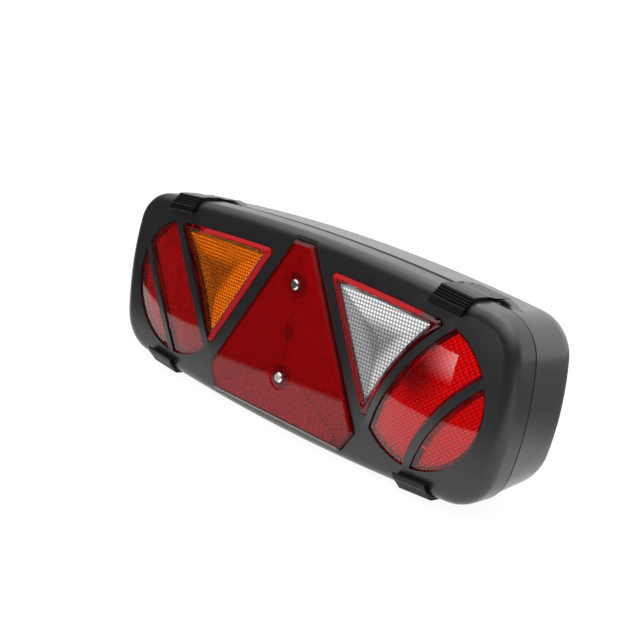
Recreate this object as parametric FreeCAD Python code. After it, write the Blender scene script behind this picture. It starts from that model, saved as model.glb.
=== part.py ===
"""Rear combination lamp: bezel, housing, coloured lenses, triangular reflector, clips, bulbs and studs.

Millimetres. X runs along the lamp, Z is up and the lenses face -Y. The origin is in the middle of the
rear mounting face, so the lamp lies in front of Y = 0 and its studs reach behind it.
"""
import FreeCAD, Part
import math
import os

V = FreeCAD.Vector
BACKWARDS = V(0, 1, 0)

# Overall outline of the bezel
lamp_width = 377.0
lamp_height = 144.0
lamp_depth = 75.0
top_bow = 1500.0
bottom_bow = 1700.0
end_bow = 215.0
top_corner = 31.0
bottom_corner = 33.0

# Walls and fits
wall = 3.0
lens_wall = 2.5
clearance = 0.4
slide = 0.3

# Bezel
bezel_depth = 23.0
bezel_round = 9.0
round_steps = 4
ledge_depth = 12.0
ledge_thickness = 2.0
ledge_width = 4.5

# Housing
housing_step = 0.8
seam_gap = 0.8
housing_taper_end = 2.5
housing_taper_top = 3.0
housing_taper_bottom = 5.0
housing_round = 13.0
lip_thickness = 2.5
lip_height = 6.0

# Triangular reflector
triangle_side = 170.0
triangle_cut = 17.0
triangle_base = -64.3
triangle_corner = 3.0
reflector_proud = 3.5
reflector_bevel = 2.2
pocket_depth = 5.5
pocket_floor = 2.5
screw_head = 7.4
screw_head_height = 2.2
screw_shank = 3.6
screw_length = 14.0
screw_recess = 18.7
screw_recess_depth = 1.0
screw_boss = 9.0
upper_screw = 35.3
lower_screw = -33.0

# Side windows and end domes
side_bar = 9.4
window_top_inset = 18.2
window_corner = 3.0
dome_from_end = 68.5
dome_place = lamp_width / 2 - dome_from_end
dome_height = -1.5
dome_radius = 51.5
dome_rise = 7.0
dome_recess = 1.3
bar_centre_x = dome_place + 170.4
bar_centre_z = -106.3
inner_bar_radius = 218.9
outer_bar_radius = 177.2
bar_width = 5.5
bar_thickness = 2.6
frame_width = 3.0
frame_proud = 3.2
frame_bevel = 2.4
insert_fit = 0.15
insert_step = 1.5
insert_bevel = 0.8
flange_width = 4.0

# Bulbs, their holders, reflectors and carriers
outer_bulb_x = dome_place + 16.0
outer_bulb_z = -10.0
bulb_glass = 25.0
bulb_share = 0.85
bulb_base = 15.0
bulb_neck_length = 4.5
bulb_bands = 7
carrier_depth = 44.0
carrier_thickness = 2.0
carrier_inner_end = 32.0
carrier_outer_end = lamp_width / 2 - 16.5
carrier_half_height = 44.0
carrier_corner = 8.0
holder_bore = 15.3
holder_wall = 1.6
holder_flange = 25.0
holder_flange_height = 2.0
holder_length = 20.0
bowl_start = 9.0
bowl_wall = 1.5
bowl_radius = 31.0
bowl_neck_radius = 11.0
bowl_sides = 24
neck_room = 1.6
post_radius = 4.0
post_inner = carrier_inner_end + 10.0
post_outer = carrier_outer_end - 8.0
post_places = ((post_inner, 36.0), (post_inner, -36.0), (post_outer, 36.0), (post_outer, -34.0))
carrier_screw_head = 6.0
carrier_screw_shank = 3.0
carrier_screw_length = 12.0
strip_width = 8.0
strip_thickness = 0.8

# Terminal block
terminal_length = 66.0
terminal_height = 18.0
terminal_depth = 14.0
terminal_count = 6
terminal_screw = 4.0
terminal_screw_length = 7.0
terminal_wire = 3.2
terminal_z = 24.0

# Mounting studs and cable grommet
stud_spacing = 152.0
stud_diameter = 8.0
stud_reach = 25.0
stud_neck = 7.2
stud_recess = 18.0
stud_recess_depth = 0.8
stud_head_flats = 13.0
stud_head_height = 5.3
grommet_z = -30.0
grommet_bore = 9.0
grommet_neck = 19.0
grommet_flange = 26.0
grommet_flange_height = 2.5

# Retaining clips
clip_place = lamp_width / 2 - 58.5
clip_width = 27.0
clip_plate = 1.6
clip_strap = 2.0
clip_crest = 2.6
clip_reach = 42.0
clip_hook = 2.5
clip_hook_drop = 3.0
lip_wrap = math.radians(85)
lip_flare = 5.2
lip_drop = 10.2
rib_count = 4
rib_depth = 0.8
pocket_wall = 3.0
stop_width = 4.0
stop_front = 27.0
stop_back = 40.0
ramp_gap = 3.0
ramp_length = 15.0
seat_root = 6.0


def depth(value):
    """Y of a point that lies this far behind the flat face of the bezel."""
    return value - lamp_depth


def point(x, z, behind_face):
    return V(x, depth(behind_face), z)


# Outlines

def corner_centre(bow_centre, bow, end_centre, end, radius, upwards):
    """Centre of a corner arc that touches a long bowed edge and a bowed end from inside."""
    reach_bow = bow - radius
    reach_end = end - radius
    return circles_meet(bow_centre, reach_bow, end_centre, reach_end, lambda p: p[1] * upwards)


def circles_meet(centre_a, radius_a, centre_b, radius_b, preference):
    """The crossing of two circles for which the preference is greatest."""
    across = centre_b[0] - centre_a[0]
    up = centre_b[1] - centre_a[1]
    apart = math.hypot(across, up)
    along = (apart ** 2 + radius_a ** 2 - radius_b ** 2) / (2 * apart)
    aside = math.sqrt(radius_a ** 2 - along ** 2)
    foot = (centre_a[0] + along * across / apart, centre_a[1] + along * up / apart)
    first = (foot[0] - aside * up / apart, foot[1] + aside * across / apart)
    second = (foot[0] + aside * up / apart, foot[1] - aside * across / apart)
    return max(first, second, key=preference)


def circle_meets_line(centre, radius, normal_angle, distance, preference):
    """The preferred crossing of a circle with the line at this distance from the origin."""
    normal = (math.cos(normal_angle), math.sin(normal_angle))
    gap = distance - (centre[0] * normal[0] + centre[1] * normal[1])
    half = math.sqrt(radius ** 2 - gap ** 2)
    foot = (centre[0] + gap * normal[0], centre[1] + gap * normal[1])
    first = (foot[0] - half * normal[1], foot[1] + half * normal[0])
    second = (foot[0] + half * normal[1], foot[1] - half * normal[0])
    return max(first, second, key=preference)


def on_circle(centre, radius, angle):
    return (centre[0] + radius * math.cos(angle), centre[1] + radius * math.sin(angle))


def angle_to(centre, target):
    return math.atan2(target[1] - centre[1], target[0] - centre[0])


def arc_edge(centre, radius, start, end, behind_face):
    """Arc about a centre, from one angle to another."""
    stops = [on_circle(centre, radius, a) for a in (start, (start + end) / 2, end)]
    return Part.Arc(*[point(x, z, behind_face) for x, z in stops]).toShape()


def barrel_wire(behind_face, inset=0.0, narrower=0.0, lower=0.0, higher=0.0):
    """Closed outline of the lamp: bowed edges and ends with rounded corners, moved in by the inset.

    The end, top and bottom can come in by further amounts, as they do towards the housing's back.
    """
    half = lamp_width / 2 - narrower
    top = lamp_height / 2 - lower
    bottom = -lamp_height / 2 + higher
    top_centre = (0.0, top - top_bow)
    bottom_centre = (0.0, bottom + bottom_bow)
    end_centre = (half - end_bow, 0.0)
    upper = corner_centre(top_centre, top_bow, end_centre, end_bow, top_corner, 1)
    under = corner_centre(bottom_centre, bottom_bow, end_centre, end_bow, bottom_corner, -1)
    top_turn = angle_to(top_centre, upper)
    end_rise = angle_to(end_centre, upper)
    end_fall = angle_to(end_centre, under)
    bottom_turn = angle_to(bottom_centre, under)
    left_end = (-end_centre[0], 0.0)
    left_upper = (-upper[0], upper[1])
    left_under = (-under[0], under[1])
    turn = math.pi
    edges = [
        arc_edge(top_centre, top_bow - inset, turn - top_turn, top_turn, behind_face),
        arc_edge(upper, top_corner - inset, top_turn, end_rise, behind_face),
        arc_edge(end_centre, end_bow - inset, end_rise, end_fall, behind_face),
        arc_edge(under, bottom_corner - inset, end_fall, bottom_turn, behind_face),
        arc_edge(bottom_centre, bottom_bow - inset, bottom_turn, -turn - bottom_turn, behind_face),
        arc_edge(left_under, bottom_corner - inset, -turn - bottom_turn, -turn - end_fall, behind_face),
        arc_edge(left_end, end_bow - inset, -turn - end_fall, -turn - end_rise, behind_face),
        arc_edge(left_upper, top_corner - inset, turn - end_rise, turn - top_turn, behind_face),
    ]
    return Part.Wire(edges)


def prism(wire, thickness):
    """Solid from a closed outline, drawn backwards by a thickness."""
    return Part.Face(wire).extrude(BACKWARDS * thickness)


def quarter_round(radius, steps):
    """How far along and how far in a rounded edge has come, from its side to its face, in flat steps."""
    turns = [math.pi / 2 * step / steps for step in range(steps + 1)]
    return [(radius * math.sin(turn), radius * (1 - math.cos(turn))) for turn in turns]


def closed_polygon(corners, behind_face):
    points = [point(x, z, behind_face) for x, z in corners]
    return Part.makePolygon(points + [points[0]])


def barrel(front, back, inset):
    return prism(barrel_wire(front, inset), back - front)


def barrel_ring(front, back, outer_inset, inner_inset):
    return barrel(front, back, outer_inset).cut(barrel(front, back, inner_inset))


def rounded_barrel(face, back, inset, radius, steps):
    """Barrel whose edge at the face is rounded in narrow bands."""
    wires = [barrel_wire(back, inset)]
    for forward, inwards in quarter_round(radius, steps):
        wires.append(barrel_wire(face + radius - forward, inset + inwards))
    return Part.makeLoft(wires, True, True)


def cylinder(x, z, radius, front, back):
    return Part.makeCylinder(radius, back - front, point(x, z, front), BACKWARDS)


def tube(x, z, outer, inner, front, back):
    return cylinder(x, z, outer, front, back).cut(cylinder(x, z, inner, front, back))


def edges_along_depth(solid):
    """Straight edges that run from front to back, which are a prism's corners."""
    found = []
    for edge in solid.Edges:
        if len(edge.Vertexes) == 2:
            run = edge.Vertexes[1].Point - edge.Vertexes[0].Point
            if abs(run.x) + abs(run.z) < 1e-6:
                found.append(edge)
    return found


def edges_at(solid, behind_face):
    """Edges that lie wholly at one depth."""
    y = depth(behind_face)
    return [e for e in solid.Edges if abs(e.BoundBox.YMin - y) < 1e-6 and abs(e.BoundBox.YMax - y) < 1e-6]


def mirrored(solid):
    return solid.mirror(V(0, 0, 0), V(1, 0, 0))


# Triangle with cut corners

def triangle_centre():
    return triangle_base + triangle_side / (2 * math.sqrt(3))


def triangle_prism(front, back, inset=0.0, corner=triangle_corner):
    """Equilateral triangle with its three corners cut off square to their bisectors."""
    side_distance = triangle_side / (2 * math.sqrt(3)) - inset
    cut_distance = triangle_side / math.sqrt(3) - triangle_cut - inset
    middle = triangle_centre()
    along = (side_distance - cut_distance * math.cos(math.pi / 3)) / math.sin(math.pi / 3)
    points = []
    for corner_angle in (math.pi / 2, -math.pi / 6, -5 * math.pi / 6):
        outwards = (math.cos(corner_angle), math.sin(corner_angle))
        sideways = (-outwards[1], outwards[0])
        for side in (1, -1):
            x = cut_distance * outwards[0] + side * along * sideways[0]
            z = cut_distance * outwards[1] + side * along * sideways[1] + middle
            points.append(point(x, z, front))
    solid = prism(Part.makePolygon(points + [points[0]]), back - front)
    return solid.makeFillet(corner, edges_along_depth(solid))


# Side window between the triangle, the bowed top and the first curved bar

def window_corners(inset):
    """Inner top, outer top and lowest corner of the side window, moved in by the inset."""
    slope = math.pi / 6
    triangle_distance = triangle_side / (2 * math.sqrt(3)) + triangle_centre() * math.sin(slope)
    line_distance = triangle_distance + side_bar + inset
    top_centre, top_radius = window_top(inset)
    bar_centre, bar_radius = window_bar(inset)
    inner_top = circle_meets_line(top_centre, top_radius, slope, line_distance, lambda p: p[1])
    outer_top = circles_meet(top_centre, top_radius, bar_centre, bar_radius, lambda p: p[1])
    lowest = circle_meets_line(bar_centre, bar_radius, slope, line_distance, lambda p: -p[0] + p[1])
    return inner_top, outer_top, lowest


def window_middle():
    """Middle and radius of the largest circle between the window's three corners."""
    corners = window_corners(0.0)
    sides = [math.dist(corners[1], corners[2]), math.dist(corners[2], corners[0]), math.dist(corners[0], corners[1])]
    around = sum(sides)
    x = sum(side * corner[0] for side, corner in zip(sides, corners)) / around
    z = sum(side * corner[1] for side, corner in zip(sides, corners)) / around
    half = around / 2
    area = math.sqrt(half * (half - sides[0]) * (half - sides[1]) * (half - sides[2]))
    return (x, z), area / half


def window_top(inset):
    return (0.0, lamp_height / 2 - top_bow), top_bow - window_top_inset - inset


def window_bar(inset):
    return (bar_centre_x, bar_centre_z), inner_bar_radius + bar_width / 2 + inset


def window_wire(behind_face, inset=0.0):
    inner_top, outer_top, lowest = window_corners(inset)
    top_centre, top_radius = window_top(inset)
    bar_centre, bar_radius = window_bar(inset)
    top_edge = arc_edge(top_centre, top_radius, angle_to(top_centre, inner_top),
                        angle_to(top_centre, outer_top), behind_face)
    bar_edge = arc_edge(bar_centre, bar_radius, angle_to(bar_centre, outer_top),
                        angle_to(bar_centre, lowest), behind_face)
    side_edge = Part.LineSegment(point(*lowest, behind_face), point(*inner_top, behind_face)).toShape()
    return Part.Wire([top_edge, bar_edge, side_edge])


def window_prism(front, back, inset=0.0, corner=window_corner):
    solid = prism(window_wire(front, inset), back - front)
    return solid.makeFillet(max(corner, 0.5), edges_along_depth(solid))


# Domed ends

def sphere_radius():
    return (dome_radius ** 2 + dome_rise ** 2) / (2 * dome_rise)


def dome_ball(below):
    """Ball whose cap is the dome over the bars, moved inwards by an amount."""
    centre = point(dome_place, dome_height, sphere_radius() - dome_rise)
    return Part.makeSphere(sphere_radius() - below, centre)


def dome_shell(top, under):
    return dome_ball(top).cut(dome_ball(under))


front_reach = -dome_rise - 1.0
back_reach = lens_wall + wall


def dome_cylinder(inset=0.0):
    return cylinder(dome_place, dome_height, dome_radius - inset, front_reach, back_reach)


def bar_disc(radius):
    return cylinder(bar_centre_x, bar_centre_z, radius, front_reach, back_reach)


def bar_strip(radius, extra=0.0):
    """Curved strip of one bar, seen from the front, widened on both sides."""
    half = bar_width / 2 + extra
    return bar_disc(radius + half).cut(bar_disc(radius - half))


# Bezel

def screw_boss_depth():
    """How far behind the face the two screws of the reflector end."""
    return screw_length + 2.0 - reflector_proud


def make_bezel():
    outer = rounded_barrel(0.0, bezel_depth, 0.0, bezel_round, round_steps)
    hollow = rounded_barrel(wall, bezel_depth, wall, bezel_round - wall, 1)
    body = outer.cut(hollow)
    body = body.fuse(barrel_ring(ledge_depth, ledge_depth + ledge_thickness, wall / 2, wall + ledge_width))
    tray = triangle_prism(wall / 2, pocket_depth + pocket_floor, -pocket_floor)
    body = body.fuse(tray).cut(triangle_prism(-1.0, pocket_depth))
    for z in (upper_screw, lower_screw):
        body = body.fuse(cylinder(0, z, screw_boss / 2, pocket_depth, screw_boss_depth() + 2.0))
        body = body.cut(cylinder(0, z, screw_shank / 2, pocket_depth - 1.0, screw_boss_depth()))
    for side in (1, -1):
        opening = dome_cylinder().common(bar_disc(inner_bar_radius + bar_width / 2))
        window = window_prism(-1.0, wall + 1.0)
        arches = bar_strip(inner_bar_radius).fuse(bar_strip(outer_bar_radius))
        arches = arches.common(dome_cylinder(-1.0)).common(dome_shell(0.0, bar_thickness))
        if side < 0:
            opening, window, arches = mirrored(opening), mirrored(window), mirrored(arches)
        body = body.cut(opening).cut(window).fuse(arches)
    return body.removeSplitter()


# Lenses

def make_red_lens():
    """Red moulding of one end: dome in two fields, flange behind the bezel, frame of the side window."""
    rim = dome_cylinder(clearance)
    inside_bar = inner_bar_radius - bar_width / 2 - clearance
    skin = dome_shell(dome_recess, dome_recess + lens_wall).common(rim).common(bar_disc(inside_bar))
    groove = bar_strip(outer_bar_radius, clearance).common(dome_ball(-1.0))
    groove = groove.cut(dome_ball(bar_thickness + clearance))
    trough = bar_strip(outer_bar_radius, clearance + lens_wall).common(rim)
    trough = trough.common(dome_shell(dome_recess, bar_thickness + clearance + lens_wall))
    skirt = rim.cut(dome_cylinder(clearance + lens_wall)).common(bar_disc(inside_bar))
    divider = bar_disc(inside_bar).cut(bar_disc(inside_bar - lens_wall)).common(rim)
    walls = skirt.fuse(divider).common(dome_ball(dome_recess))
    flange_back = wall + lens_wall
    flange = cylinder(dome_place, dome_height, dome_radius + flange_width, wall, flange_back)
    flange = flange.fuse(window_prism(wall, flange_back, -flange_width))
    flange = flange.cut(dome_cylinder(clearance + lens_wall).common(bar_disc(inside_bar - lens_wall)))
    frame = window_prism(-frame_proud, flange_back, clearance)
    frame = frame.makeChamfer(frame_bevel, edges_at(frame, -frame_proud))
    lens = skin.fuse([trough, walls, flange, frame]).cut(groove)
    lens = lens.cut(window_prism(-frame_proud - 1.0, flange_back + 1.0, clearance + frame_width))
    return lens.removeSplitter()


def make_window_insert():
    """Amber or clear insert: a hollow block in the red frame, with a step that bears on the flange."""
    seat = wall + lens_wall
    fit = clearance + frame_width + insert_fit
    block = window_prism(-frame_proud - insert_fit, seat, fit)
    block = block.makeChamfer(insert_bevel, edges_at(block, -frame_proud - insert_fit))
    step = window_prism(seat, seat + insert_step, fit - insert_step)
    hollow = window_prism(lens_wall - frame_proud, seat + insert_step, fit + lens_wall)
    return block.fuse(step).cut(hollow).removeSplitter()


def make_triangle_reflector():
    front = -reflector_proud
    plate = triangle_prism(front, pocket_depth, clearance)
    plate = plate.makeChamfer(reflector_bevel, edges_at(plate, front))
    plate = plate.cut(triangle_prism(front + lens_wall, pocket_depth, clearance + lens_wall))
    for z in (upper_screw, lower_screw):
        plate = plate.fuse(cylinder(0, z, screw_boss / 2, front + 1.0, pocket_depth))
        plate = plate.cut(cylinder(0, z, screw_recess / 2, front, front + screw_recess_depth))
        plate = plate.cut(cylinder(0, z, screw_shank / 2 + slide, front, pocket_depth))
    plate = plate.cut(tube(0, 0, screw_boss / 2, screw_boss / 2 - 1.0, front, front + screw_recess_depth / 2))
    return plate.removeSplitter()


def make_reflector_screws():
    screws = []
    seat = screw_recess_depth - reflector_proud
    for z in (upper_screw, lower_screw):
        head = cylinder(0, z, screw_head / 2, seat - screw_head_height, seat)
        head = head.makeChamfer(screw_head_height * 0.4, edges_at(head, seat - screw_head_height))
        shank = cylinder(0, z, screw_shank / 2, seat, screw_boss_depth())
        recess = None
        for turn in (0, 90):
            slot = Part.makeBox(0.9, 1.2, screw_head * 0.55, V(-0.45, 0, -screw_head * 0.275))
            slot.rotate(V(0, 0, 0), BACKWARDS, turn)
            recess = slot if recess is None else recess.fuse(slot)
        recess.translate(point(0, z, seat - screw_head_height))
        screws.append(head.fuse(shank).removeSplitter().cut(recess))
    return Part.Compound(screws)


# Housing and seal

def housing_wire(behind_face, inset, share):
    """Outline of the housing, where the share runs from 0 at the bezel to 1 at the back."""
    return barrel_wire(behind_face, inset, housing_step + share * housing_taper_end,
                       housing_step + share * housing_taper_top, housing_step + share * housing_taper_bottom)


def tapered(front, back, inset, radius, steps):
    """Block inside the housing's tapering outline, with its back edge rounded in narrow bands."""
    stations = [(front, 0.0)]
    stations += [(back - radius + along, inwards) for along, inwards in quarter_round(radius, steps)]
    run = lamp_depth - bezel_depth
    wires = [housing_wire(d, inset + inwards, (d - bezel_depth) / run) for d, inwards in stations]
    return Part.makeLoft(wires, True, True)


def housing_drop(behind_face):
    """How far the housing's wall lies below the bezel's edge at a depth, where it tapers least."""
    share = (behind_face - bezel_depth) / (lamp_depth - bezel_depth)
    return housing_step + share * min(housing_taper_top, housing_taper_bottom)


def clip_box(left, right, front, back, low, high):
    """Box in the frame of a clip."""
    return Part.makeBox(right - left, back - front, high - low, V(left, depth(front), low))


def clip_seats():
    """Stops and ramps on the housing beside the four clips."""
    half = clip_width / 2
    solids = []
    for place in clip_frames():
        stop = clip_box(-half - slide - stop_width, -half - slide, stop_front, stop_back, -seat_root, 0.6)
        start = half + ramp_gap
        outline = [(start, 1.2), (start + 3.0, 1.2), (start + ramp_length, -seat_root / 2),
                   (start + ramp_length, -seat_root), (start, -seat_root)]
        ramp = prism(closed_polygon(outline, stop_front + 2.0), stop_back - stop_front - 4.0)
        solids += [stop.transformGeometry(place), ramp.transformGeometry(place)]
    return solids


def clip_pockets(margin):
    """Pockets behind the seam that take the hooks, or with a margin the blocks around them."""
    reach = slide + margin
    front = clip_reach - reach
    back = clip_reach + clip_hook + reach
    low = hook_level() - slide - margin
    high = 2.0 if margin == 0.0 else -housing_drop(clip_reach) - wall / 2
    half = clip_width / 2 + reach
    return [clip_box(-half, half, front, back, low, high).transformGeometry(place) for place in clip_frames()]


def make_housing():
    front = bezel_depth + seam_gap
    outer = tapered(front, lamp_depth, 0.0, housing_round, round_steps)
    hollow = tapered(front, lamp_depth - wall, wall, housing_round - wall, 1)
    lip_inset = wall + clearance
    lip = barrel_ring(bezel_depth - lip_height, front + wall, lip_inset, lip_inset + lip_thickness)
    collar = barrel_ring(front, front + wall, housing_step + wall / 2, lip_inset + lip_thickness)
    body = outer.fuse(clip_seats()).cut(hollow).fuse([lip, collar])
    body = body.fuse(clip_pockets(pocket_wall)).cut(Part.Compound(clip_pockets(0.0)))
    floor = lamp_depth - wall
    for side in (1, -1):
        for x, z in post_places:
            post = cylinder(side * x, z, post_radius, carrier_depth + carrier_thickness, floor + 1.0)
            bore_end = carrier_depth + carrier_screw_length + 1.0
            post = post.cut(cylinder(side * x, z, carrier_screw_shank / 2, carrier_depth, bore_end))
            body = body.fuse(post)
        stud_x = side * stud_spacing / 2
        body = body.cut(cylinder(stud_x, 0, stud_diameter / 2 + slide, floor - 1.0, lamp_depth + 1.0))
        body = body.cut(cylinder(stud_x, 0, stud_recess / 2, lamp_depth - stud_recess_depth, lamp_depth + 1.0))
    body = body.cut(cylinder(0, grommet_z, grommet_neck / 2 + slide, floor - 1.0, lamp_depth + 1.0))
    return body.removeSplitter()


def make_seal():
    front = ledge_depth + ledge_thickness
    outer_inset = wall + clearance
    return barrel_ring(front, bezel_depth - lip_height, outer_inset, outer_inset + lip_thickness)


# Clips

def clip_frames():
    """Place of each clip: its own Z points out of the lamp and its own X lies along the bowed edge."""
    frames = []
    for upwards, bow in ((1, top_bow), (-1, bottom_bow)):
        for side in (-1, 1):
            lean = math.asin(side * clip_place / bow)
            edge = upwards * (lamp_height / 2 - bow + bow * math.cos(lean))
            frame = FreeCAD.Matrix()
            if upwards < 0:
                frame.scale(1, 1, -1)
            frame.rotateY(upwards * lean)
            frame.move(V(side * clip_place, 0, edge))
            frames.append(frame)
    return frames


def hook_level():
    """Height of a hook's tip in its clip's frame."""
    return -housing_drop(clip_reach) - clip_hook_drop


def rib_line(start, end):
    """Points of a ribbed face from one edge to the other, with a groove between each two ribs."""
    run = (end[0] - start[0], end[1] - start[1])
    length = math.hypot(*run)
    inwards = (-run[1] / length * rib_depth, run[0] / length * rib_depth)
    points = [start]
    for groove in range(1, rib_count + 1):
        for share, sunk in ((-0.3, 0.0), (0.0, 1.0), (0.3, 0.0)):
            along = (groove + share) / (rib_count + 1)
            points.append((start[0] + along * run[0] + sunk * inwards[0],
                           start[1] + along * run[1] + sunk * inwards[1]))
    return points + [end]


def make_clip(frame):
    """Slide-on clip: plate on the housing, strap over the seam and a ribbed, flared lip on the bezel's edge."""
    radius = bezel_round + slide

    def around(turn):
        return (bezel_round - radius * math.sin(turn), -bezel_round + radius * math.cos(turn))

    def place(spot):
        return V(0, depth(spot[0]), spot[1])

    back = clip_reach + clip_hook
    seam = bezel_depth + slide
    near_level = slide - housing_drop(seam)
    far_level = slide - housing_drop(clip_reach)
    strap_top = slide + clip_strap
    outside = [(back, far_level + clip_plate), (seam + 4.0, near_level + clip_plate), (seam - 2.0, strap_top)]
    outside += [(bezel_round + 1.0, clip_crest)]
    outside += rib_line((bezel_round / 2, strap_top), (-3.2, 0.6 * -bezel_round))
    outside += [(-lip_flare, 1.0 - lip_drop), (1.0 - lip_flare, -lip_drop), around(lip_wrap)]
    underside = [around(0.0), (seam, slide), (seam, near_level), (clip_reach, far_level),
                 (clip_reach, hook_level()), (back, hook_level()), (back, far_level + clip_plate)]
    edges = [Part.LineSegment(place(a), place(b)).toShape() for a, b in zip(outside, outside[1:])]
    edges.append(Part.Arc(place(around(lip_wrap)), place(around(lip_wrap / 2)), place(around(0.0))).toShape())
    edges += [Part.LineSegment(place(a), place(b)).toShape() for a, b in zip(underside, underside[1:])]
    clip = Part.Face(Part.Wire(edges)).extrude(V(clip_width, 0, 0))
    clip.translate(V(-clip_width / 2, 0, 0))
    return clip.transformGeometry(frame)


# Lighting inside

def bulb_place(kind):
    if kind == "inner":
        return window_middle()[0]
    return outer_bulb_x, outer_bulb_z


def make_funnel():
    """Flat-sided reflector behind a side window, narrowing to the bulb."""
    (x, z), room = window_middle()
    funnel_neck = (bulb_base / 2 + bowl_wall + neck_room) / room

    def block(inset):
        front = window_corners(inset)
        narrow = window_corners(inset / funnel_neck)
        neck = [(x + funnel_neck * (a - x), z + funnel_neck * (b - z)) for a, b in narrow]
        outlines = [closed_polygon(front, bowl_start), closed_polygon(neck, carrier_depth)]
        return Part.makeLoft(outlines, True, True)

    return block(0.0).cut(block(bowl_wall))


def make_bowl():
    """Many-sided reflector behind a red end, steeper towards the bulb."""
    middle = (bowl_start + carrier_depth) / 2
    middle_radius = bowl_neck_radius + 0.72 * (bowl_radius - bowl_neck_radius)
    stations = ((bowl_start, bowl_radius), (middle, middle_radius), (carrier_depth, bowl_neck_radius))
    turns = [2 * math.pi * side / bowl_sides for side in range(bowl_sides)]

    def block(inset):
        wires = []
        for behind_face, radius in stations:
            corners = [on_circle(bulb_place("outer"), radius - inset, turn) for turn in turns]
            wires.append(closed_polygon(corners, behind_face))
        return Part.makeLoft(wires, True, True)

    return block(0.0).cut(block(bowl_wall))


def make_bulb(kind):
    """Bayonet bulb as one sealed solid: glass turned in narrow bands, neck and metal base."""
    x, z = bulb_place(kind)
    glass = bulb_share * window_middle()[1] / 2 if kind == "inner" else bulb_glass / 2
    base = bulb_base / 2
    base_front = carrier_depth - 2.0
    middle = base_front - bulb_neck_length - math.sqrt(glass ** 2 - (base - 0.8) ** 2)
    base_back = carrier_depth + carrier_thickness + holder_length - holder_wall - slide
    neck_turn = math.pi - math.asin((base - 0.8) / glass)
    turns = [neck_turn * band / bulb_bands for band in range(bulb_bands + 1)]
    profile = [(glass * math.sin(turn), middle - glass * math.cos(turn)) for turn in turns]
    profile += [(base - 0.8, base_front), (base, base_front), (base, base_back), (0.0, base_back)]
    stops = [V(radius, depth(behind_face), 0) for radius, behind_face in profile]
    bulb = Part.Face(Part.makePolygon(stops + [stops[0]])).revolve(V(0, 0, 0), BACKWARDS, 360)
    bulb.translate(V(x, 0, z))
    return bulb


def make_holder(kind):
    """Bulb holder behind the carrier: flange, sleeve and closed back."""
    x, z = bulb_place(kind)
    front = carrier_depth + carrier_thickness
    sleeve = holder_bore / 2 + holder_wall
    body = cylinder(x, z, holder_flange / 2, front, front + holder_flange_height)
    body = body.fuse(cylinder(x, z, sleeve, front, front + holder_length))
    return body.cut(cylinder(x, z, holder_bore / 2, front, front + holder_length - holder_wall)).removeSplitter()


def make_carrier():
    """Flat plate on the housing's posts that carries two bulb holders and their reflectors."""
    width = carrier_outer_end - carrier_inner_end
    plate = Part.makeBox(width, carrier_thickness, 2 * carrier_half_height,
                         point(carrier_inner_end, -carrier_half_height, carrier_depth))
    plate = plate.makeFillet(carrier_corner, edges_along_depth(plate))
    for x, z in (bulb_place("inner"), bulb_place("outer")):
        plate = plate.cut(cylinder(x, z, holder_bore / 2, carrier_depth, carrier_depth + carrier_thickness))
    for x, z in post_places:
        hole = cylinder(x, z, carrier_screw_shank / 2 + slide, carrier_depth, carrier_depth + carrier_thickness)
        plate = plate.cut(hole)
    return plate


def make_carrier_screws():
    screws = []
    for side in (1, -1):
        for x, z in post_places:
            head = cylinder(side * x, z, carrier_screw_head / 2, carrier_depth - 2.0, carrier_depth)
            shank = cylinder(side * x, z, carrier_screw_shank / 2, carrier_depth,
                             carrier_depth + carrier_screw_length)
            screws.append(head.fuse(shank).removeSplitter())
    return Part.Compound(screws)


def make_strip():
    """Brass strip on the back of a carrier, from one bulb holder to the other."""
    start, end = bulb_place("inner"), bulb_place("outer")
    run = math.hypot(end[0] - start[0], end[1] - start[1])
    back = carrier_depth + carrier_thickness
    strip = Part.makeBox(run, strip_thickness, strip_width, V(0, depth(back), -strip_width / 2))
    strip.rotate(V(0, 0, 0), BACKWARDS, -math.degrees(math.atan2(end[1] - start[1], end[0] - start[0])))
    strip.translate(V(start[0], 0, start[1]))
    for x, z in (start, end):
        strip = strip.cut(cylinder(x, z, holder_flange / 2, back, back + holder_flange_height))
    return strip


# Terminals, grommet and studs

def terminal_places():
    pitch = terminal_length / terminal_count
    return [(number - (terminal_count - 1) / 2) * pitch for number in range(terminal_count)]


def terminal_front():
    return lamp_depth - wall - terminal_depth


def make_terminal_block():
    block = Part.makeBox(terminal_length, terminal_depth, terminal_height,
                         point(-terminal_length / 2, terminal_z - terminal_height / 2, terminal_front()))
    block = block.makeChamfer(1.5, edges_along_depth(block))
    for x in terminal_places():
        block = block.cut(cylinder(x, terminal_z, terminal_screw / 2, terminal_front(),
                                   terminal_front() + terminal_screw_length + 1.0))
        wire_way = Part.makeBox(terminal_wire, terminal_wire, terminal_height,
                                point(x - terminal_wire / 2, terminal_z - terminal_height / 2,
                                      terminal_front() + terminal_depth * 0.65))
        block = block.cut(wire_way)
    return block


def make_terminal_screws():
    start = terminal_front() + 1.0
    return Part.Compound([cylinder(x, terminal_z, terminal_screw / 2, start, start + terminal_screw_length)
                          for x in terminal_places()])


def make_grommet():
    """Rubber cable grommet: a neck through the back wall between two flanges, and the cable's bore."""
    floor = lamp_depth - wall
    body = cylinder(0, grommet_z, grommet_neck / 2, floor - grommet_flange_height,
                    lamp_depth + grommet_flange_height)
    body = body.fuse(cylinder(0, grommet_z, grommet_flange / 2, floor - grommet_flange_height, floor))
    outside = cylinder(0, grommet_z, grommet_flange / 2, lamp_depth, lamp_depth + grommet_flange_height)
    outside = outside.makeChamfer(1.0, edges_at(outside, lamp_depth + grommet_flange_height))
    body = body.fuse(outside).removeSplitter()
    return body.cut(cylinder(0, grommet_z, grommet_bore / 2, floor - 10.0, lamp_depth + 10.0))


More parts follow.
